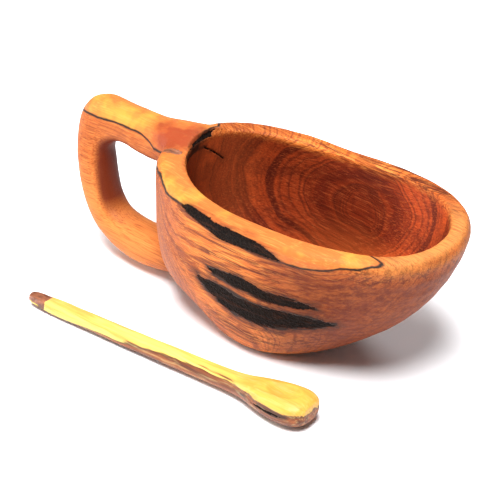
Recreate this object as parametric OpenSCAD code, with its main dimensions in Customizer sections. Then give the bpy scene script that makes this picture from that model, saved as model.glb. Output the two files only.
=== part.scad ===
// Kuksa: a cup carved from one block of wood, with a two-finger loop handle,
// dark inlays let into its wall, and the small spoon carved from the same wood.
//
// Frame, in mm: +X runs from the handle to the nose, +Y to the far flank, +Z up.
// z = 0 is the table that the cup and the spoon rest on. x = 0 is the middle of the mouth.

/* [Mouth] */
// Half the length of the mouth, at its inner edge
mouth_half_length = 60; // [50:0.5:70]
// Half the width of the mouth, at its inner edge
mouth_half_width = 35; // [26:0.5:42]
// How much fuller the mouth is towards both ends than an ellipse
mouth_fullness = 0.29; // [0:0.01:0.4]
// Height of the rim, at the middle of each flank
rim_height = 70.5; // [60:0.5:85]
// How far the nose and the handle end of the rim stand above the flanks
rim_sweep = 2; // [0:0.25:6]

/* [Rim and wall] */
// Rim thickness at the nose
rim_at_nose = 7.85; // [5:0.05:12]
// Rim thickness along the flanks
rim_at_flank = 9.25; // [6:0.25:12]
// Rim thickness where the handle grows out of it
rim_at_handle = 13; // [9:0.25:18]
// How far the outer edge of the rim is rounded down
rim_round = 4; // [1:0.25:6]
// Wood left under the hollow
floor_thickness = 9; // [6:0.5:14]

/* [Foot] */
// Half the length of the flat foot
foot_half_length = 23.5; // [16:0.5:30]
// Half the width of the flat foot
foot_half_width = 18.5; // [12:0.5:26]
// Where the middle of the foot stands, towards the handle when negative
foot_x = -19.5; // [-26:0.5:0]

/* [Handle] */
// How much wider or slimmer the loop's wood is than carved
handle_scale = 1; // [0.85:0.01:1.15]
// How square the loop's section is: 1 is round, smaller is squarer
handle_square = 0.8; // [0.6:0.05:1]

/* [Inlays] */
// How deep the dark inlays are let into the wood
inlay_depth = 2.5; // [1.5:0.1:3.5]

/* [Spoon] */
// Where the spoon's tip lies on the table, left to right
spoon_x = -105.4; // [-160:0.2:-60]
// Where the spoon's tip lies on the table, in front of the cup when negative
spoon_y = -58; // [-120:1:-50]
// Which way the spoon points, turned from +X
spoon_turn = 2.9; // [-30:0.1:30]
// Length from the tip to the end of the bowl
spoon_length = 148; // [110:1:180]
// Width of the spoon's bowl
spoon_bowl_width = 20; // [12:0.5:30]

/* [Drawing] */
// Which sub-part to draw
// Points round the cup
points_round = 68; // [36:4:96]

/* [Hidden] */

heartwood = [0.66, 0.33, 0.16];
sapwood = [0.88, 0.62, 0.22];
start = 0.306; // where the first point of a ring stands, as a share of a step
black = [0.09, 0.07, 0.06];
bark = [0.30, 0.16, 0.09];

// ---- small tools ----
function unit(v) = v / norm(v);
function mix(a, b, t) = a + (b - a) * t;

// Catmull-Rom curve through a list of equally long number lists.
function at_end(p, i) = p[max(0, min(len(p) - 1, i))];
function curve(p, t) =
    let (i = min(floor(t), len(p) - 2), u = t - i,
         a = at_end(p, i - 1), b = p[i], c = p[i + 1], d = at_end(p, i + 2))
    0.5 * (2 * b + (c - a) * u + (2 * a - 5 * b + 4 * c - d) * u * u
           + (3 * b - a - 3 * c + d) * u * u * u);

// The solid between rings of the same number of points, first ring at the bottom or the start.
module loft(rings) {
    n = len(rings[0]);
    m = len(rings);
    pts = [for (r = rings) each r];
    sides = [for (j = [0:m - 2], i = [0:n - 1])
        let (a = j * n + i, b = j * n + (i + 1) % n)
        each [[a, a + n, b + n], [a, b + n, b]]];
    polyhedron(points = pts, faces = concat(sides,
        [[for (i = [0:n - 1]) i]], [[for (i = [n - 1:-1:0]) (m - 1) * n + i]]));
}

// A small open check, a drying split in the surface: lies at p along d, opening along n.
module check(p, d, n, length, width, deep) {
    side = unit(cross(n, d));
    up = n * 0.9;
    hull() polyhedron(points = [p + up - d * length, p + up + d * length,
                                p + up - side * width, p + up + side * width,
                                p - n * deep - d * length * 0.25, p - n * deep + d * length * 0.25],
        faces = [[0, 2, 4], [0, 4, 3], [3, 4, 5], [3, 5, 1], [1, 5, 2], [2, 5, 4], [0, 3, 1, 2]]);
}

// ---- the bowl's surface ----
// a is the angle round the cup, 0 at the nose, 90 at the far flank, 180 at the handle.
function mouth(a) = [mouth_half_length * cos(a),
    mouth_half_width * sin(a) * (1 + 0.04 * cos(a) + mouth_fullness * cos(a) * cos(a))];
function outward(a) = let (d = mouth(a + 1) - mouth(a - 1)) unit([d[1], -d[0]]);
function rim_wide(a) = rim_at_flank
    + pow(max(cos(a), 0), 2) * (rim_at_nose - rim_at_flank)
    + pow(max(-cos(a), 0), 2) * (rim_at_handle - rim_at_flank);
function rim_top(a) = rim_height + rim_sweep * (0.5 + 0.5 * cos(2 * a)) - 1.0 * cos(a) - 1.3 * cos(3 * a);
function rim_point(a, out, down) =
    let (q = mouth(a) + outward(a) * out) [q[0], q[1], rim_top(a) - down];

// How far out the wall has swelled at a share h of its height: 0 over the foot, 1 under the rim.
function swell(a, h) =
    pow(1 - pow(1 - h, 2 / (1.57 + 0.57 * cos(a) - 0.89 * cos(2 * a))),
        0.605 + 0.01 * cos(a) + 0.19 * cos(2 * a)) + 0.012 * sin(180 * h);
function foot(a, out) = [foot_x + (foot_half_length + out) * cos(a),
                         (foot_half_width + out) * sin(a), 0];
function wall(a, h, out, edge, bottom) =
    let (f = foot(a, out), g = swell(a, h))
    [mix(f[0], edge[0], g), mix(f[1], edge[1], g), mix(bottom, edge[2], h)];
function outer_wall(a, h) = wall(a, h, 0, rim_point(a, rim_wide(a), rim_round), 0);
function inner_wall(a, h) = wall(a, h, -9, rim_point(a, 0, 1), floor_thickness + 1.2);

// The whole skin as one strip: 0 to 1 up the outside, 1 to 2 over the rim, 2 to 3 down inside.
rim_profile = [[1, 1], [0.93, 0.55], [0.82, 0.22], [0.62, 0.04], [0.4, 0], [0.2, 0.03],
               [0.07, 0.06], [0, 0.08]];
function over_rim(a, u) =
    let (k = curve(rim_profile, u * (len(rim_profile) - 1)))
    rim_point(a, rim_wide(a) * k[0], rim_round * k[1]);
function skin(a, s) = s <= 1 ? outer_wall(a, s)
    : s <= 2 ? over_rim(a, s - 1) : inner_wall(a, 3 - s);
function skin_out(a, s) = unit(cross(skin(a + 0.5, s) - skin(a - 0.5, s),
                                     skin(a, s + 0.01) - skin(a, s - 0.01)));

angles = [for (i = [0:points_round - 1]) 360 * (i + start) / points_round];
outer_steps = [0, 0.01, 0.03, 0.06, 0.1, 0.15, 0.21, 0.28, 0.36, 0.45, 0.55, 0.66, 0.78, 0.9, 1];
rim_steps = [1.1, 1.2, 1.32, 1.45, 1.6, 1.75, 1.87];
inner_steps = [1, 0.88, 0.75, 0.62, 0.5, 0.38, 0.28, 0.2, 0.13, 0.08, 0.04, 0.015, 0];

// The bowl in one skin: up the outside, over the rim, down the inside and across the floor.
module bowl() {
    loft(concat([for (s = outer_steps) [for (a = angles) skin(a, s)]],
                [for (s = rim_steps) [for (a = angles) skin(a, s)]],
                [for (h = inner_steps) [for (a = angles) inner_wall(a, h)]],
                [[for (a = angles) foot(a, -17) + [0, 0, floor_thickness]]]));
}
// What the handle's roots must not enter: the hollow, with a margin inside the wall.
module throat() {
    loft([for (k = [[2, 66], [2, 3], [1.3, 0.4], [1, -0.5], [2.4, -3.5], [2.6, -20]])
        [for (a = angles) rim_point(a, k[0], k[1])]]);
}

// ---- the loop handle ----
// Each station: x, z, half thickness in the plane of the loop, half width across it.
handle_line = [[-58, 68.8, 8, 16], [-71, 66.8, 10, 11.8], [-87, 65.2, 9.3, 8.8], [-104, 66.2, 9, 7.4],
    [-116.3, 63.8, 11.6, 7.5], [-122.2, 53, 8.9, 7.8], [-121.3, 39, 8.4, 8], [-118, 26, 8, 8.2],
    [-111, 16.6, 7.7, 8.6], [-99, 12, 8, 9.4], [-85.5, 11.5, 8.2, 9.8], [-72, 13.2, 7.8, 9.8],
    [-58, 17.5, 9, 11], [-46, 20, 9, 11]];
function squarish(v) = sign(v) * pow(abs(v), handle_square);
function handle_ring(t) =
    let (c = curve(handle_line, t),
         d = unit(curve(handle_line, min(t + 0.05, len(handle_line) - 1))
                  - curve(handle_line, max(t - 0.05, 0))),
         side = unit([d[1], -d[0]]))
    [for (i = [0:27])
        let (u = c[2] * handle_scale * squarish(cos(360 * (i + start) / 28)),
             v = c[3] * handle_scale * squarish(sin(360 * (i + start) / 28)))
        [c[0] + side[0] * u, v, c[1] + side[1] * u]];
module handle() {
    last = len(handle_line) - 1;
    loft([for (i = [0:3 * last]) handle_ring(i / 3)]);
}

// Where the wood has checked beside the dark inlays: angle, place on the skin, length.
check_places = [[244, 0.84, 5], [252, 0.78, 4], [262, 0.8, 5], [272, 0.82, 4], [290, 0.7, 5],
                [300, 0.76, 4], [284, 0.36, 5], [298, 0.38, 4], [310, 0.42, 4], [262, 0.3, 5]];
module checks() {
    for (c = check_places)
        let (along = unit(skin(c[0] + 1, c[1]) - skin(c[0] - 1, c[1])))
        check(skin(c[0], c[1]), along, skin_out(c[0], c[1]), c[2], 0.7, 0.8);
}

module cup_blank() {
    difference() {
        union() {
            bowl();
            difference() {
                handle();
                throat();
            }
        }
        checks();
    }
}

// ---- inlays: a strip swept along the skin ----
// Each station: angle, place on the skin's strip, half width.
rim_strip = [[236, 1.1, 0.5], [241, 1.1, 1.8], [247, 1.05, 2.3], [254, 0.985, 3.2], [261, 0.98, 3.4],
    [269, 0.98, 3], [276, 0.975, 2.9], [281, 0.96, 2.2], [287, 0.935, 0.5]];
upper_strip = [[249, 0.64, 0.5], [255, 0.64, 2], [264, 0.645, 3.2], [273, 0.635, 3.1],
    [283, 0.615, 3], [293, 0.62, 2.7], [301, 0.62, 2], [308, 0.63, 0.5]];
lower_strip = [[241, 0.525, 0.5], [246, 0.49, 2.8], [252, 0.475, 4.6], [260, 0.445, 5.8],
    [268, 0.437, 5.6], [277, 0.43, 6], [285, 0.433, 6], [293, 0.455, 5], [303, 0.47, 4.2],
    [313, 0.49, 2.6], [320, 0.5, 0.5]];
collar_strip = [[162, 1.3, 1.1], [166, 1.6, 1.1], [171, 1.78, 1.1], [178, 1.88, 1.1], [185, 1.93, 1],
    [193, 1.93, 0.9], [201, 1.91, 0.8], [210, 1.87, 0.6], [217, 1.8, 0.4]];
crack_strip = [[180.5, 2.06, 0.7], [178, 2.08, 0.7], [172, 2.13, 0.7], [165.3, 2.2, 0.55]];
bark_strip = [[198, 1.2, 0.6], [199, 1.35, 1.8], [200, 1.55, 2], [200, 1.72, 1]];

// The strip's section at one station: a flat box across the strip, sunk into the skin.
function strip_ring(p, t, above) =
    let (c = curve(p, t), h = 0.04,
         q = curve(p, min(t + h, len(p) - 1)), r = curve(p, max(t - h, 0)),
         here = skin(c[0], c[1]), along = unit(skin(q[0], q[1]) - skin(r[0], r[1])),
         n = skin_out(c[0], c[1]), across = unit(cross(n, along)), w = max(c[2], 0.3))
    [for (k = [[-1, 0], [-0.75, -0.85], [0, -1], [0.75, -0.85], [1, 0], [1, above], [-1, above]])
        here + across * w * k[0] * (k[1] > 0 ? 1.15 : 1)
        + n * (k[1] > 0 ? k[1] : k[1] * inlay_depth)];
module strip(p, above = 3) {
    last = len(p) - 1;
    loft([for (i = [0:3 * last]) strip_ring(p, i / 3, above)]);
}

module all_pockets() {
    strip(rim_strip);
    strip(upper_strip);
    strip(lower_strip);
    strip(collar_strip, 6);
    strip(crack_strip);
    strip(bark_strip, 6);
}
module inlay(p, above = 3) {
    color(black) intersection() {
        cup_blank();
        strip(p, above);
    }
}

module cup_body() {
    color(heartwood) difference() {
        cup_blank();
        all_pockets();
    }
}
module rim_inlay() { inlay(rim_strip); }
module flank_inlay_upper() { inlay(upper_strip); }
module flank_inlay_lower() { inlay(lower_strip); }
module collar_seam_inlay() { inlay(collar_strip, 6); }
module throat_crack_inlay() { inlay(crack_strip); }
module bark_pocket_inlay() { inlay(bark_strip, 6); }

// ---- the spoon ----
// Each station: share of the length, height of the middle, half width, half thickness.
spoon_line = [[0, 3.6, 2.4, 2.1], [0.03, 3.4, 3.4, 2.6], [0.1, 3.3, 4, 3.05], [0.24, 3.8, 4.1, 3.1],
    [0.4, 4.1, 4.2, 3.4], [0.56, 4.8, 4.2, 3.8], [0.7, 5.5, 4.1, 4.1], [0.77, 6, 4.9, 4.6],
    [0.83, 6.4, 7.3, 5.6], [0.89, 6.5, 9.5, 6.35], [0.95, 6.9, 9.9, 6.4], [0.985, 7.3, 8.1, 5.3],
    [1, 7.6, 5.3, 3.5]];
function spoon_ring(t) =
    let (c = curve(spoon_line, t), wide = c[2] > 5 ? spoon_bowl_width / 20 : 1)
    [for (i = [0:19])
        let (u = cos(18 * i), v = sin(18 * i))
        [c[0] * spoon_length, sign(u) * pow(abs(u), 0.85) * c[2] * wide,
         c[1] + sign(v) * pow(abs(v), v > 0 ? 0.6 : 0.9) * c[3]]];
module on_table() {
    translate([spoon_x, spoon_y, 0]) rotate([0, 0, spoon_turn]) children();
}
// The shallow dish in the spoon's bowl.
dish_x = 0.9;
function dish_z(x, y) = 30.2 - 19 * sqrt(max(0, 1 - pow((x - dish_x * spoon_length) / 20.9, 2) - pow(y / 14.25, 2)));
// Pits in the wood: station of spoon_line, place across, length.
spoon_pits = [[8.4, 1, 3], [8.7, -1.5, 2], [9.1, 2, 2.5], [9.3, -0.5, 3], [9.6, 2.5, 2],
              [9.8, -3, 2], [4.6, 1, 4], [3.5, -1, 4], [2.6, 1.2, 4]];
module spoon_blank() {
    last = len(spoon_line) - 1;
    difference() {
        loft([for (i = [0:3 * last]) spoon_ring(i / 3)]);
        translate([dish_x * spoon_length, 0, 30.2]) scale([1.1, 0.75, 1]) sphere(r = 19, $fn = 72);
        for (p = spoon_pits)
            let (c = curve(spoon_line, p[0]), x = c[0] * spoon_length)
            check([x, p[1], min(c[1] + 0.97 * c[3], dish_z(x, p[1]))], [1, 0, 0], [0, 0, 1], p[2], 0.7, 0.9);
    }
}
// Bark is left on the tip; a dark seam runs along the near side of the bowl.
module bark_zone() {
    translate([-2, -8, 2.8]) rotate([0, 3, 0]) cube([12, 16, 8]);
}
spoon_seam = [[0.79, -0.5, 0.3], [0.84, -0.8, 1], [0.89, -0.3, 1.3], [0.94, 0.2, 1.1], [0.975, 0.6, 0.3]];
module seam_zone() {
    last = len(spoon_seam) - 1;
    loft([for (i = [0:3 * last])
        let (c = curve(spoon_seam, i / 3), x = c[0] * spoon_length,
             skin_y = -spoon_bowl_width / 2 + 60 * pow(abs(c[0] - 0.905), 1.6) * 2)
        [for (k = [[-16, 1], [-16, -1], [skin_y + 2, -0.8], [skin_y + 2, 0.8]])
            [x, k[0], 6.9 + c[1] + c[2] * k[1]]]]);
}

module spoon_body() {
    color(sapwood) on_table() difference() {
        spoon_blank();
        bark_zone();
        seam_zone();
    }
}
module spoon_bark_tip() {
    color(bark) on_table() intersection() {
        spoon_blank();
        bark_zone();
    }
}
module spoon_seam_inlay() {
    color(black) on_table() intersection() {
        spoon_blank();
        seam_zone();
    }
}

cup_body();
rim_inlay();
flank_inlay_upper();
flank_inlay_lower();
collar_seam_inlay();
throat_crack_inlay();
bark_pocket_inlay();
spoon_body();
spoon_bark_tip();
spoon_seam_inlay();
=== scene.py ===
"""The kuksa cup and its spoon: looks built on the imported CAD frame.

Lengths are in mm where a comment or a docstring says so, and MM turns them into metres.
"""
import math
from types import SimpleNamespace

import bmesh
import bpy
import numpy as np
from mathutils import Matrix, Vector, noise
from mathutils.bvhtree import BVHTree
from mathutils.kdtree import KDTree


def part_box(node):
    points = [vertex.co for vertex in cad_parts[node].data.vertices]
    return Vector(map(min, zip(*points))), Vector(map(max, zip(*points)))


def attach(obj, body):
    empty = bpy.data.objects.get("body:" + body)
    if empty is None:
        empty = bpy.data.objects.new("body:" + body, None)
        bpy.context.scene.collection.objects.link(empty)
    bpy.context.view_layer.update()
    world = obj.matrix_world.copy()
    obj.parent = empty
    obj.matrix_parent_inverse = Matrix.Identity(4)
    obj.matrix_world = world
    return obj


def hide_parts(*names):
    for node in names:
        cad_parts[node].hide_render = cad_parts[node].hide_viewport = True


MM = 0.001
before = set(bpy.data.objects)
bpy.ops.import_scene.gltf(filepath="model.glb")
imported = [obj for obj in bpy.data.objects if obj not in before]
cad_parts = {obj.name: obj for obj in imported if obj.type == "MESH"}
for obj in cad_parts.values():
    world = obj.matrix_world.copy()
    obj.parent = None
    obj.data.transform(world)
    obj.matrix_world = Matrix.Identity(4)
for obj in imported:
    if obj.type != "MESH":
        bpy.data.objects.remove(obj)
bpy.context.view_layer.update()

CUP = "cup_body"
# Each inlay of the cup, in mm: how ragged its edge is, how much narrower it is than in the
# CAD, and how far the stain round it is moved outwards (None where there is no stain).
CUP_INLAYS = {
    "rim_inlay": (0.35, 0, -0.9),
    "flank_inlay_upper": (0.8, 0, 0.6),
    "flank_inlay_lower": (0.8, 0, 1.0),
    "collar_seam_inlay": (0.15, 1.1, -3.0),
    "throat_crack_inlay": (0.1, 0.2, -2.4),
    "bark_pocket_inlay": (0.3, 0, None),
}
CUP_VOXEL = 0.75
CUP_INLAY_DEPTH = 2.4
CUP_INLAY_GRAIN = 0.35
FINE_REACH = 1.5

SPOON = "spoon_body"
# Each inlay of the spoon, in mm: its depth, and how much narrower it is than in the CAD.
SPOON_INLAYS = {"spoon_bark_tip": (0.8, 0), "spoon_seam_inlay": (1.0, 0.4)}
SPOON_VOXEL = 0.4
SPOON_INLAY_GRAIN = 0.3
SPOON_STAIN = -0.6


# ---- mesh tools ----
def table(items, field, width, kind=float):
    """One field of all vertices or edges of a mesh, as rows."""
    values = np.empty(len(items) * width, dtype=kind)
    items.foreach_get(field, values)
    return values.reshape(-1, width)


def coords(me):
    return table(me.vertices, "co", 3)


def normals(me):
    return table(me.vertices, "normal", 3)


def edge_pairs(me):
    return table(me.edges, "vertices", 2, np.int64)


def put_coords(me, co):
    me.vertices.foreach_set("co", co.ravel())
    me.update()


def attribute(me, name, values):
    data = me.attributes.new(name, "FLOAT", "POINT").data
    data.foreach_set("value", np.asarray(values, dtype=np.float32))


def shade_smooth(me):
    me.polygons.foreach_set("use_smooth", [True] * len(me.polygons))
    me.update()


def add_object(name, data):
    ob = bpy.data.objects.new(name, data)
    bpy.context.scene.collection.objects.link(ob)
    return ob


def rounds(full):
    return full


def to_neighbours(co, pairs, degree):
    """How far each vertex is from the middle of its neighbours."""
    a, b = pairs.T
    out = np.empty_like(co)
    for k in range(co.shape[1]):
        out[:, k] = np.bincount(a, co[b, k], len(co)) + np.bincount(b, co[a, k], len(co))
    return out / degree[:, None] - co


def smoothed(me, times, weight=None, shrink=False):
    """Taubin smoothing, which keeps the volume, or plain smoothing where shrink is set."""
    forth, back_again = 0.5, 0.53
    co, pairs = coords(me), edge_pairs(me)
    degree = np.maximum(np.bincount(pairs.ravel(), minlength=len(co)), 1)
    w = 1.0 if weight is None else weight[:, None]
    for _ in range(times):
        co = co + forth * w * to_neighbours(co, pairs, degree)
        if not shrink:
            co = co - back_again * w * to_neighbours(co, pairs, degree)
    return co


def step(x, lo, hi):
    """A soft step from 0 at lo to 1 at hi."""
    t = np.clip((x - lo) / (hi - lo), 0, 1)
    return t * t * (3 - 2 * t)


def wobble(co, *waves):
    """Smooth noise at each place, as a sum of waves: (height, size in mm, seed)."""
    total = np.zeros(len(co))
    for height, size, seed in waves:
        off = Vector((seed * 7.3, seed * 3.1, seed * 5.7))
        total += height * np.array([noise.noise(Vector(p) / (size * MM) + off) for p in co])
    return total


def solid_copy(name, nodes, voxel):
    """One closed fine mesh of several CAD nodes, with voxels of the given size in mm."""
    bm = bmesh.new()
    for n in nodes:
        bm.from_mesh(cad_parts[n].data)
    me = bpy.data.meshes.new(name)
    bm.to_mesh(me)
    bm.free()
    ob = add_object(name, me)
    mod = ob.modifiers.new("fine", "REMESH")
    mod.mode = "VOXEL"
    mod.voxel_size = voxel * MM
    deps = bpy.context.evaluated_depsgraph_get()
    fine = bpy.data.meshes.new_from_object(ob.evaluated_get(deps))
    ob.modifiers.clear()
    ob.data = fine
    return ob


def in_box(co, node, pad):
    """Which places lie in a node's box, with pad mm to spare."""
    lo, hi = (np.array(v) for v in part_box(node))
    return np.where(np.all((co > lo - pad * MM) & (co < hi + pad * MM), axis=1))[0]


def refine(ob, nodes, reach):
    """Splits the faces of ob within reach mm of some CAD nodes into finer ones."""
    co = coords(ob.data)
    mask = np.zeros(len(co), dtype=bool)
    for node in nodes:
        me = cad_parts[node].data
        tree = BVHTree.FromPolygons([v.co[:] for v in me.vertices], [p.vertices[:] for p in me.polygons])
        for i in in_box(co, node, reach):
            mask[i] |= tree.find_nearest(Vector(co[i]), reach * MM)[0] is not None
    bm = bmesh.new()
    bm.from_mesh(ob.data)
    edges = {e for f in bm.faces if all(mask[v.index] for v in f.verts) for e in f.edges}
    bmesh.ops.subdivide_edges(bm, edges=list(edges), cuts=1, use_grid_fill=True)
    bmesh.ops.triangulate(bm, faces=[f for f in bm.faces if len(f.verts) > 4])
    bm.to_mesh(ob.data)
    bm.free()


# ---- inlays: cut out of the fine skin, and let into a pocket ----
def outline_of(node, skin_tree):
    """The inlay's top faces as a tree, and points along the line where its top meets the wood."""
    spacing, on_skin = 0.2 * MM, 0.5 * MM
    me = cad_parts[node].data
    where, count, faces = {}, {}, []
    key = [tuple(round(c / MM, 3) for c in v.co) for v in me.vertices]
    for p in me.polygons:
        near, normal, _, _ = skin_tree.find_nearest(p.center)
        if (near - p.center).length < on_skin and normal.dot(p.normal) > 0.5:
            faces.append(p.vertices[:])
            for a, b in zip(p.vertices, p.vertices[1:] + p.vertices[:1]):
                pair = frozenset((key[a], key[b]))
                count[pair] = count.get(pair, 0) + 1
                where[pair] = (me.vertices[a].co, me.vertices[b].co)
    points = []
    for pair, (a, b) in where.items():
        if count[pair] == 1:
            n = max(1, math.ceil((b - a).length / spacing))
            points += [a.lerp(b, i / n) for i in range(n)]
    line = KDTree(len(points))
    for i, p in enumerate(points):
        line.insert(p, i)
    line.balance()
    return BVHTree.FromPolygons([v.co[:] for v in me.vertices], faces), line


def inlay_fields(ob, inlays):
    """For each inlay, the signed distance in mm to its outline on the skin, over 0 inside."""
    far, pad, on_skin = -9.0, 5, 0.3 * MM
    co = coords(ob.data)
    skin_tree = BVHTree.FromPolygons(co.tolist(), [p.vertices[:] for p in ob.data.polygons])
    fields = {}
    for node in inlays:
        top, outline = outline_of(node, skin_tree)
        field = np.full(len(co), far)
        for i in in_box(co, node, pad):
            distance = outline.find(Vector(co[i]))[2] / MM
            inside = top.find_nearest(Vector(co[i]), on_skin)[0] is not None
            field[i] = distance if inside else -distance
        fields[node] = field
    return fields


def sink_pocket(me, co, no, used, depth):
    """Pushes the skin under an inlay inwards, but not along the inlay's edge."""
    inner = np.zeros(len(co), dtype=bool)
    inner[used] = True
    pairs = edge_pairs(me)
    edge = np.zeros(len(co), dtype=bool)
    edge[pairs[inner[pairs[:, 0]] != inner[pairs[:, 1]]].ravel()] = True
    sunk = inner & ~edge
    co[sunk] -= no[sunk] * depth * MM
    put_coords(me, co)


def let_in(ob, node, inside, depth, grain, body):
    """Makes the inlay piece for a CAD node from the skin of ob where inside is over 0."""
    under = 0.1
    me = ob.data
    co, no = coords(me), normals(me)
    keep = inside > 0
    faces = [p.vertices[:] for p in me.polygons if all(keep[v] for v in p.vertices)]
    used = sorted({v for f in faces for v in f})
    index = {v: i for i, v in enumerate(used)}
    rough = grain * (wobble(co[used], (0.55, 1.1, 4), (0.45, 0.45, 9)) - 0.3)
    top = co[used] + no[used] * (rough * MM)[:, None]
    low = co[used] - no[used] * (depth - under) * MM
    n = len(used)
    tops = [tuple(index[v] for v in f) for f in faces]
    lows = [tuple(v + n for v in reversed(f)) for f in tops]
    edges = [pair for f in tops for pair in zip(f, f[1:] + f[:1])]
    known = set(edges)
    sides = [(b, a, a + n, b + n) for a, b in edges if (b, a) not in known]
    out = bpy.data.meshes.new(node + "_look")
    out.from_pydata(np.vstack([top, low]).tolist(), [], tops + lows + sides)
    out.validate()
    shade_smooth(out)
    piece = add_object(node + "_look", out)
    sink_pocket(me, co, no, used, depth)
    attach(piece, body)
    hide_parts(node)
    return piece


# ---- the yellow sapwood's place on the cup, in mm ----
# Height of the dark line that bounds the sapwood, at places along the cup.
SAP_LINE = [(-135, 65.5), (-117, 67.5), (-108, 68.4), (-99, 69.2), (-89, 69.4), (-84, 68), (-80, 65.2),
            (-74, 66.5), (-65, 70), (-57, 70.5), (-51, 68.8), (-46, 67.4), (-36, 67.2), (-26, 64.7),
            (-16, 62.2), (-2, 61.8), (16, 62.6), (27, 63.7), (36, 65.8), (43, 68.2), (50, 69), (56, 71),
            (70, 76)]
# Its outline from above: the near rim, the handle, and the handle's root.
SAP_PLAN = [(62, -34), (55.5, -27), (46, -26), (38, -17), (-30, -19), (-45, -20), (-50.5, -20.5),
            (-55.5, -15.5), (-58.8, -9), (-60.3, -3), (-61, 4), (-61.6, 9), (-63.5, 13), (-67, 16.5),
            (-77, 24), (-150, 50), (-150, -90), (62, -90)]


def inside_plan(x, y, plan):
    """Signed distance to a closed outline, over 0 inside."""
    best = np.full(len(x), np.inf)
    odd = np.zeros(len(x), dtype=bool)
    for (ax, ay), (bx, by) in zip(plan, plan[1:] + plan[:1]):
        dx, dy = bx - ax, by - ay
        t = np.clip(((x - ax) * dx + (y - ay) * dy) / (dx * dx + dy * dy), 0, 1)
        best = np.minimum(best, np.hypot(x - ax - t * dx, y - ay - t * dy))
        if dy:
            odd ^= ((ay > y) != (by > y)) & (x < ax + (y - ay) / dy * dx)
    return np.where(odd, best, -best)


def sap_share(x, y, z):
    """How far a place is inside the sapwood."""
    above = z - np.interp(x, *zip(*SAP_LINE))
    return np.clip(np.minimum(inside_plan(x, y, SAP_PLAN), above), -12, 12)


# ---- the cup ----
def soften_handle(me):
    """Soft fillets where the handle grows out of the bowl, and a rounder loop."""
    wall_at_table, wall_lean, half_width = 43, 0.36, 24
    x, y, z = (coords(me) / MM).T
    from_wall = -x - wall_at_table - wall_lean * z
    root = step(from_wall, -5, 1) * step(-from_wall, -22, -14)
    root *= step(half_width - np.abs(y), 0, 8) * step(z, 3, 9)
    put_coords(me, smoothed(me, rounds(70), root, shrink=True))
    x, y, z = (coords(me) / MM).T
    put_coords(me, smoothed(me, rounds(60), step(-x, 76, 86)))
    corner = step(-x, 96, 102) * step(z, 44, 50)
    put_coords(me, smoothed(me, rounds(45), corner, shrink=True))


def make_uneven(me, free_from, free_at, *waves):
    """The carver's slight unevenness, but what rests on the table stays flat."""
    co = coords(me)
    uneven = wobble(co, *waves) * step(co[:, 2] / MM, free_from, free_at)
    co += normals(me) * (uneven * MM)[:, None]
    co[:, 2] = np.maximum(co[:, 2], 0)
    put_coords(me, co)


def mark_cup(me, fields):
    """Marks the skin with the places that the wood's material needs."""
    half_length, half_width, crest = 60, 35, 71.5
    eye_x, eye_z = -92, 40
    no = normals(me)
    x, y, z = (coords(me) / MM).T
    stained = [fields[n] + shift for n, (_, _, shift) in CUP_INLAYS.items() if shift is not None]
    attribute(me, "sap", sap_share(x, y, z))
    attribute(me, "dark", np.max(stained, axis=0))
    # where the skin faces the hollow of the bowl, and lies below the lip; on the near side it starts
    # lower, so the lighter outer colour runs down as painted light on the top of the near inner wall
    turn = np.arctan2(y / half_width, x / half_length)
    lip = crest + np.cos(2 * turn) - np.cos(turn) - 1.3 * np.cos(3 * turn)
    faces_in = np.maximum(-(no[:, 0] * x / half_length + no[:, 1] * y / half_width), no[:, 2] - 0.3)
    below_lip_minus_lit_strip = lip - z - 6 * step(-y, 10, 25) * step(x, -25, 10)
    inner = step(faces_in, -0.05, 0.25) * step(x, -67, -64) * step(z, 6, 9) * step(below_lip_minus_lit_strip, 0, 4)
    attribute(me, "inner", inner)
    # painted shade where the skin faces the handle's loop hole, less of it on the bowl's own wall
    to_eye = np.stack([eye_x - x, 0 * x, eye_z - z], axis=1)
    to_eye /= np.maximum(np.linalg.norm(to_eye, axis=1), 1)[:, None]
    eye_shade = step(-x, 64, 70) * step((to_eye * no).sum(axis=1), 0.25, 0.8)
    attribute(me, "eye_shade", eye_shade * (0.4 + 0.6 * step(-x, 68, 84)))


def build_cup():
    nodes = list(CUP_INLAYS)
    cup = solid_copy("cup_look", [CUP] + nodes, CUP_VOXEL)
    refine(cup, nodes, FINE_REACH)
    fields = inlay_fields(cup, nodes)
    me = cup.data
    put_coords(me, smoothed(me, 10))
    soften_handle(me)
    make_uneven(me, 1, 8, (0.45, 26, 1), (0.16, 9, 2))
    shade_smooth(me)
    mark_cup(me, fields)
    along_grain = coords(me) * np.array([0.12, 1, 1])
    edge = wobble(along_grain, (0.9, 1.3, 3), (0.5, 0.5, 5))
    pieces = []
    for node, (ragged, narrower, _) in CUP_INLAYS.items():
        inside = fields[node] + ragged * edge - narrower
        pieces.append(let_in(cup, node, inside, CUP_INLAY_DEPTH, CUP_INLAY_GRAIN, "cup"))
    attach(cup, "cup")
    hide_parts(CUP)
    return cup, pieces


# ---- the spoon ----
def build_spoon():
    spoon = solid_copy("spoon_look", [SPOON] + list(SPOON_INLAYS), SPOON_VOXEL)
    fields = inlay_fields(spoon, SPOON_INLAYS)
    me = spoon.data
    put_coords(me, smoothed(me, 8))
    shade_smooth(me)
    make_uneven(me, 0.5, 3, (0.22, 12, 6))
    along_grain = coords(me) * np.array([0.3, 1, 1])
    edge = wobble(along_grain, (0.8, 1.2, 3))
    attribute(me, "dark", fields["spoon_seam_inlay"] + SPOON_STAIN)
    pieces = []
    for node, (depth, narrower) in SPOON_INLAYS.items():
        inside = fields[node] + 0.5 * edge - narrower
        pieces.append(let_in(spoon, node, inside, depth, SPOON_INLAY_GRAIN, "spoon"))
    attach(spoon, "spoon")
    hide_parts(SPOON)
    return spoon, pieces


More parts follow.
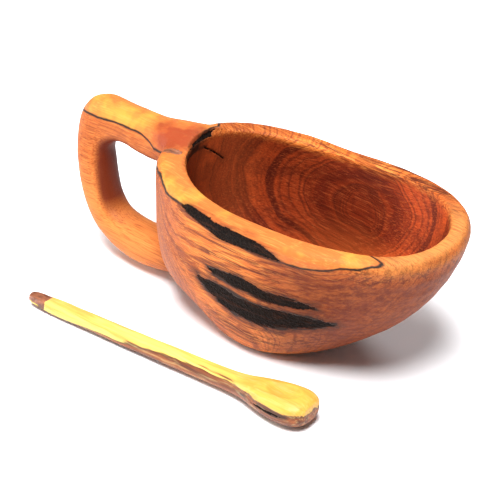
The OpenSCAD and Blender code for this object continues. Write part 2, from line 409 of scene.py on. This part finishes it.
# ---- materials ----
class Graph:
    """A short way to write a node tree."""

    def __init__(self, name, colour, roughness, specular):
        self.mat = bpy.data.materials.new(name)
        self.mat.use_nodes = True
        self.tree = self.mat.node_tree
        self.shader = self.tree.nodes["Principled BSDF"]
        self.shader.inputs["Roughness"].default_value = roughness
        self.shader.inputs["Specular IOR Level"].default_value = specular
        self.shader.inputs["Base Color"].default_value = (*colour, 1)

    def new(self, kind, *inputs, out=0, **props):
        n = self.tree.nodes.new(kind)
        for k, v in props.items():
            setattr(n, k, v)
        for key, v in inputs:
            socket = n.inputs[key]
            if isinstance(v, bpy.types.NodeSocket):
                self.tree.links.new(v, socket)
            else:
                socket.default_value = v
        return n.outputs[out]

    def math(self, op, a, b=0.0):
        return self.new("ShaderNodeMath", (0, a), (1, b), operation=op)

    def plus(self, a, b):
        return self.math("ADD", a, b)

    def times(self, a, b):
        return self.math("MULTIPLY", a, b)

    def size(self, x):
        return self.math("ABSOLUTE", x)

    def span(self, x, lo, hi, to_lo=0.0, to_hi=1.0):
        """x from lo to hi, as a value from to_lo to to_hi that stops at both ends."""
        return self.new("ShaderNodeMapRange", ("Value", x), ("From Min", lo), ("From Max", hi),
                        ("To Min", to_lo), ("To Max", to_hi))

    def mix(self, share, a, b, blend="MIX"):
        a, b = (v if isinstance(v, bpy.types.NodeSocket) else (*v, 1) for v in (a, b))
        return self.new("ShaderNodeMix", (0, share), (6, a), (7, b), out=2, data_type="RGBA",
                        blend_type=blend)

    def layered(self, colour, *layers):
        """Lays colours over a first one: each layer is a share, a colour and maybe a blend."""
        for layer in layers:
            share, over, *blend = layer
            colour = self.mix(share, colour, over, *blend)
        return colour

    def noise(self, at, scale, detail=3.0, rough=0.55):
        return self.new("ShaderNodeTexNoise", ("Vector", at), ("Scale", scale), ("Detail", detail),
                        ("Roughness", rough))

    def line(self, w, scale, detail):
        """Noise along one value."""
        return self.new("ShaderNodeTexNoise", ("W", w), ("Scale", scale), ("Detail", detail),
                        noise_dimensions="1D")

    def scaled(self, at, by):
        return self.new("ShaderNodeMapping", ("Vector", at), ("Scale", by))

    def moved(self, a, b):
        return self.new("ShaderNodeVectorMath", (0, a), (1, b), operation="ADD")

    def length(self, a):
        return self.new("ShaderNodeVectorMath", (0, a), operation="LENGTH", out=1)

    def place(self):
        return self.new("ShaderNodeTexCoord", out=3)

    def in_mm(self, at):
        return self.scaled(at, (1 / MM, 1 / MM, 1 / MM))

    def part(self, at, axis):
        return self.new("ShaderNodeSeparateXYZ", ("Vector", at), out="XYZ".index(axis))

    def attr(self, name):
        return self.new("ShaderNodeAttribute", out=2, attribute_name=name)

    def wavy(self, at, size, amount):
        """The place, pushed about by smooth noise: size and amount in mm."""
        n = self.new("ShaderNodeTexNoise", ("Vector", at), ("Scale", 1 / (size * MM)), ("Detail", 2.0),
                     ("Roughness", 0.5), out=1)
        push = self.scaled(self.moved(n, (-0.5, -0.5, -0.5)),
                           (0.4 * amount * MM, amount * MM, amount * MM))
        return self.moved(at, push)

    def use(self, socket, v):
        self.tree.links.new(v, self.shader.inputs[socket])

    def bump(self, height, distance, strength):
        self.use("Normal", self.new("ShaderNodeBump", ("Height", height), ("Distance", distance),
                                    ("Strength", strength)))


BLACK = (0, 0, 0)
HEART_OF_TREE = (0, 40, 50)    # mm
HEART_STRETCH = (2.0, 1, 1)


def rings(g, at):
    """Growth layers: distance in mm from a long egg-shaped heart."""
    rel = g.moved(at, tuple(-v * MM for v in HEART_OF_TREE))
    return g.length(g.scaled(rel, tuple(1 / (s * MM) for s in HEART_STRETCH)))


def cup_grain(g):
    """The patterns that the zones of the cup's wood share. x and z are in mm."""
    at = g.place()
    mm = g.in_mm(at)
    bent = g.wavy(g.wavy(at, 55, 18), 16, 6)
    soft = g.wavy(g.wavy(at, 60, 7), 18, 1.6)
    ring = rings(g, bent)
    return SimpleNamespace(
        at=at, mm=mm, bent=bent,
        x=g.part(mm, "X"), z=g.part(mm, "Z"),
        broad=g.line(ring, 0.11, 4.0),
        fine=g.line(ring, 0.7, 4.0),
        layers=g.line(rings(g, soft), 1.5, 5.0),
        fibre=g.noise(g.scaled(soft, (0.024, 1, 1)), 1900.0, 4.0, 0.65),
        streak=g.noise(g.scaled(soft, (0.016, 1, 1)), 520.0, 6.0, 0.7),
        cloud=g.noise(g.scaled(bent, (0.3, 1, 1)), 75.0, 5.0, 0.65),
        patch=g.noise(g.wavy(at, 20, 4), 60.0, 3.0, 0.6),
    )


def outer_wood(g, p):
    """The outside: tan and orange with dark fibres and pale flecks, with painted light on the nose and
    the middle of the flank, and painted shade low on its right side.
    """
    bowl = g.span(p.x, -85, -68, 0.4, 1.0)
    east = g.times(bowl, g.span(p.x, -45, -20, 0.2, 1.0))
    tan = g.mix(g.span(p.cloud, 0.35, 0.65), (0.58, 0.142, 0.028), (0.82, 0.262, 0.058))
    foot = g.times(g.span(p.z, 10, 18, 0.2, 0), bowl)
    layers = g.times(g.span(p.layers, 0.5, 0.6, 0, 0.65), bowl)
    streaks = g.times(g.span(p.streak, 0.5, 0.58, 0, 0.95), east)
    west = g.times(g.span(p.x, -40, -52, 0, 0.35), bowl)
    lower_limb = g.times(g.span(p.x, -85, -70, 0.7, 0), g.span(p.z, 30, 45, 1, 0))
    # painted light: the top of the nose is made lighter, as if lit from above
    lit_nose = g.times(g.span(p.x, 42, 60, 0, 0.6), g.span(p.z, 63, 70))
    # painted light: the middle of the bowl's flank is brightened, as if lit from the left
    lit_middle = g.times(g.span(p.x, -45, -30), g.span(p.x, 0, 12, 1, 0))
    # painted shade: the right side of the bowl below the rim is darkened, as if turned away from the
    # light
    shaded_low_right = g.times(g.span(p.x, 0, 26, 0, 0.86), g.span(p.z, 58, 71, 1, 0))
    return g.layered(
        tan,
        (g.span(p.broad, 0.48, 0.68, 0, 0.6), (0.38, 0.08, 0.020)),
        (foot, (0.26, 0.065, 0.02)),
        (layers, (0.20, 0.036, 0.010)),
        (streaks, (0.12, 0.024, 0.008)),
        (g.span(bowl, 0.4, 1.0, 0.4, 0), (0.84, 0.28, 0.065)),
        (west, (0.26, 0.05, 0.015)),
        (lower_limb, (0.95, 0.36, 0.10)),
        (lit_nose, (0.96, 0.46, 0.15)),
        (g.span(p.fibre, 0.48, 0.36, 0, 0.6), (0.16, 0.03, 0.010)),
        (g.span(p.fibre, 0.53, 0.64, 0, 0.6), (0.95, 0.42, 0.12)),
        (lit_middle, (1.35, 1.45, 1.35), "MULTIPLY"),
        (g.times(shaded_low_right, g.span(p.streak, 0.35, 0.6, 0.7, 1.0)), (0.17, 0.030, 0.008)),
    )


def inner_wood(g, p):
    """The inside: deep red-brown with dark layers round the heart of the tree, darker partly as painted
    shade of the hollow, with painted light on its floor and on its left and right walls.
    """
    # the wood's own red-brown, made darker in part as painted shade of the hollow
    red = g.mix(g.span(p.broad, 0.35, 0.62), (0.46, 0.076, 0.018), (0.14, 0.017, 0.006))
    arcs = g.span(g.size(g.math("SUBTRACT", p.broad, 0.5)), 0.0, 0.045, 0.8, 0)
    # painted light: the floor and the low far wall of the hollow are made lighter, where light falls
    # into it
    floor = g.times(g.span(p.x, -30, 0, 0, 0.4), g.span(p.z, 46, 30))
    return g.layered(
        red,
        (g.span(p.fine, 0.52, 0.7, 0, 0.45), (0.11, 0.016, 0.006)),
        (g.span(p.cloud, 0.42, 0.62, 0, 0.75), (0.12, 0.018, 0.007)),
        (arcs, (0.075, 0.010, 0.005)),
        (g.span(p.streak, 0.52, 0.66, 0, 0.5), (0.10, 0.016, 0.007)),
        (g.span(p.fibre, 0.47, 0.36, 0, 0.5), (0.05, 0.008, 0.004)),
        (g.span(p.fibre, 0.53, 0.66, 0, 0.3), (0.62, 0.17, 0.05)),
        (floor, (0.74, 0.19, 0.05)),
        # painted light: the left of the hollow, shaded by the handle's root, is lightened and
        # brightened, and the right of the hollow, which faces the light, is brightened
        (g.span(p.x, -56, -46, 0.2, 0), (0.50, 0.13, 0.045)),
        (g.span(p.x, 4, 26), (1.6, 1.6, 1.5), "MULTIPLY"),
        (g.span(p.x, -58, -45, 1, 0), (1.3, 1.45, 1.5), "MULTIPLY"),
    )


def cup_sapwood(g, p):
    """Yellow, with orange patches, and red-brown where the handle grows out of the bowl."""
    patches = g.plus(p.patch, g.span(p.x, -125, -85, 0.05, 0.16))
    yellow = g.mix(g.span(patches, 0.48, 0.68), (0.74, 0.36, 0.052), (0.68, 0.17, 0.035))
    from_root = g.length(g.moved(p.mm, (70, 8, -74)))
    root = g.plus(from_root, g.span(p.patch, 0.35, 0.65, -6, 6))
    return g.layered(
        yellow,
        (g.span(p.streak, 0.5, 0.7, 0, 0.35), (0.60, 0.17, 0.035)),
        (g.span(p.fibre, 0.5, 0.7, 0, 0.4), (0.84, 0.50, 0.12)),
        (g.span(root, 8, 16, 0.9, 0), (0.34, 0.05, 0.018)),
    )


def cup_wood():
    g = Graph("heartwood_look", (0.42, 0.15, 0.05), 0.42, 0.12)
    p = cup_grain(g)
    # painted shade on the faces round the handle's loop hole
    eye_shade = g.times(g.attr("eye_shade"), g.span(p.z, 17, 28, 0, 0.95))
    heartwood = g.layered(
        outer_wood(g, p),
        (g.attr("inner"), inner_wood(g, p)),
        (eye_shade, (0.15, 0.022, 0.008)),
        (1.0, (0.94, 0.77, 0.63), "MULTIPLY"),
    )
    # the sapwood, with a thin dark line along its edge
    edge = g.noise(g.scaled(p.at, (0.5, 1, 1)), 180.0, 3.0, 0.5)
    sap = g.plus(g.attr("sap"), g.span(edge, 0, 1, -1.3, 1.3))
    # the stain round the black inlays, feathered along the grain
    feather = g.noise(g.scaled(p.bent, (0.06, 1, 1)), 420.0, 4.0, 0.65)
    dark = g.plus(g.attr("dark"), g.span(feather, 0.3, 0.7, -2.6, 1.6))
    colour = g.layered(
        heartwood,
        (g.span(sap, -0.35, 0.35), cup_sapwood(g, p)),
        (g.span(g.size(sap), 0.25, 0.85, 1, 0), (0.035, 0.016, 0.01)),
        (g.span(dark, -4.4, -0.8, 0, 0.75), (0.12, 0.028, 0.010)),
        (g.span(dark, -1.0, 0.4, 0, 0.95), (0.018, 0.008, 0.005)),
    )
    g.use("Base Color", g.mix(0.74, BLACK, colour))
    g.use("Roughness", g.span(p.fibre, 0.3, 0.7, 0.42, 0.6))
    g.bump(g.plus(g.times(p.fibre, 0.6), g.times(p.streak, 0.8)), 0.3 * MM, 0.7)
    return g.mat


def black_filler():
    g = Graph("black_inlay_look", (0.03, 0.022, 0.018), 0.6, 0.05)
    at = g.place()
    grit = g.noise(at, 1500.0, 4.0, 0.75)
    fibre = g.noise(g.scaled(at, (0.1, 1, 1)), 500.0, 4.0, 0.6)
    colour = g.mix(g.span(grit, 0.45, 0.75), (0.004, 0.0025, 0.002), (0.03, 0.015, 0.010))
    g.use("Base Color", g.mix(g.span(fibre, 0.55, 0.7, 0, 0.6), colour, (0.06, 0.018, 0.008)))
    g.bump(g.plus(grit, fibre), 0.6 * MM, 1.0)
    return g.mat


def bark():
    g = Graph("bark_look", (0.16, 0.06, 0.03), 0.4, 0.5)
    flake = g.noise(g.scaled(g.place(), (0.3, 1, 1)), 420.0, 4.0, 0.65)
    g.use("Base Color", g.mix(g.span(flake, 0.35, 0.7), (0.08, 0.025, 0.012), (0.36, 0.12, 0.05)))
    g.bump(flake, 0.6 * MM, 0.8)
    return g.mat


def spoon_wood():
    g = Graph("sapwood_look", (0.78, 0.50, 0.14), 0.45, 0.35)
    bent = g.wavy(g.place(), 18, 2.5)
    fibre = g.noise(g.scaled(bent, (0.05, 1, 1)), 900.0, 3.0, 0.6)
    streak = g.noise(g.scaled(bent, (0.03, 1, 1)), 420.0, 3.0, 0.6)
    mm = g.in_mm(bent)
    x, z = g.part(mm, "X"), g.part(mm, "Z")
    pale = g.mix(g.span(x, -30, 20), (0.88, 0.68, 0.15), (0.82, 0.45, 0.07))
    sapwood = g.mix(g.span(streak, 0.42, 0.64, 0, 0.8), pale, (0.74, 0.32, 0.045))
    heartwood = g.mix(g.span(streak, 0.35, 0.65), (0.38, 0.095, 0.016), (0.10, 0.022, 0.005))
    # the heartwood lies low, and reaches higher from the middle to the bowl's end
    below = g.math("SUBTRACT", g.span(x, -80, -10, 2.2, 8.2), z)
    below = g.plus(below, g.span(streak, 0.3, 0.7, -0.9, 0.9))
    dark = g.plus(g.attr("dark"), g.span(streak, 0.3, 0.7, -1.5, 1.0))
    colour = g.layered(
        sapwood,
        (g.span(below, -0.2, 0.2), heartwood),
        (g.span(g.size(below), 0.2, 0.5, 0.85, 0), (0.10, 0.03, 0.012)),
        (g.span(fibre, 0.5, 0.75, 0, 0.35), (0.92, 0.74, 0.30)),
        (g.span(dark, -1.0, 0.2, 0, 0.9), (0.05, 0.02, 0.01)),
    )
    g.use("Base Color", g.mix(0.78, BLACK, colour))
    g.bump(g.plus(fibre, streak), 0.3 * MM, 0.6)
    return g.mat


def give(ob, mat):
    ob.data.materials.clear()
    ob.data.materials.append(mat)


# ---- floor, light and camera ----
LOOK_AT = Vector((0, 0, 0.03))
WORLD_STRENGTH = 0.15
# Each soft light: its place and size in metres, and its power in watts.
LIGHTS = {
    "front": ((0.34, -0.62, 1.50), 0.8, 50),
    "top_left": ((-0.35, -0.25, 1.55), 0.8, 13),
    "behind": ((-0.4, 0.9, 1.3), 0.8, 7),
    "low_left": ((-1.35, -0.8, 0.42), 0.7, 13),
}
AZIMUTH, ELEVATION, ROLL = (math.radians(v) for v in (39.23, 29.96, 2.10))
DISTANCE = 0.95
LENS, SENSOR = 163.6, 36
AIM = Vector((-0.010, 0, 0.025))
AIM_RIGHT, AIM_UP = -0.01796, 0.01221


def area_light(name, at, size, power):
    data = bpy.data.lights.new(name, "AREA")
    data.shape = "DISK"
    data.size = size
    data.energy = power
    ob = add_object(name, data)
    ob.location = at
    ob.rotation_euler = (LOOK_AT - Vector(at)).to_track_quat("-Z", "Y").to_euler()


def floor_sheet():
    half, below = 6.0, 0.05 * MM
    me = bpy.data.meshes.new("floor")
    corners = [(-half, -half, 0), (half, -half, 0), (half, half, 0), (-half, half, 0)]
    me.from_pydata(corners, [], [(0, 1, 2, 3)])
    ob = add_object("floor", me)
    ob.location.z = -below
    give(ob, Graph("floor_white", (0.97, 0.975, 1.0), 0.6, 0.1).mat)


def set_world():
    world = bpy.data.worlds.new("studio")
    world.use_nodes = True
    background = world.node_tree.nodes["Background"]
    background.inputs["Color"].default_value = (1, 1, 1, 1)
    background.inputs["Strength"].default_value = WORLD_STRENGTH
    bpy.context.scene.world = world


def set_camera():
    level = math.cos(ELEVATION)
    back = Vector((math.sin(AZIMUTH) * level, -math.cos(AZIMUTH) * level, math.sin(ELEVATION)))
    right = Vector((math.cos(AZIMUTH), math.sin(AZIMUTH), 0))
    up = back.cross(right)
    target = AIM + right * AIM_RIGHT + up * AIM_UP
    rolled_right = right * math.cos(ROLL) + up * math.sin(ROLL)
    rolled_up = up * math.cos(ROLL) - right * math.sin(ROLL)
    turn = Matrix((rolled_right, rolled_up, back)).transposed().to_4x4()
    data = bpy.data.cameras.new("camera")
    data.lens = LENS
    data.sensor_width = SENSOR
    camera = add_object("camera", data)
    camera.matrix_world = Matrix.Translation(target + back * DISTANCE) @ turn
    bpy.context.scene.camera = camera


cup, cup_pieces = build_cup()
spoon, spoon_pieces = build_spoon()
give(cup, cup_wood())
give(spoon, spoon_wood())
filler_mat, bark_mat = black_filler(), bark()
for piece in cup_pieces + spoon_pieces:
    give(piece, bark_mat if "bark" in piece.name else filler_mat)

floor_sheet()
set_world()
for name, (at, size, power) in LIGHTS.items():
    area_light(name, at, size, power)
set_camera()
bpy.context.scene.view_settings.view_transform = "Standard"
bpy.context.scene.view_settings.look = "None"
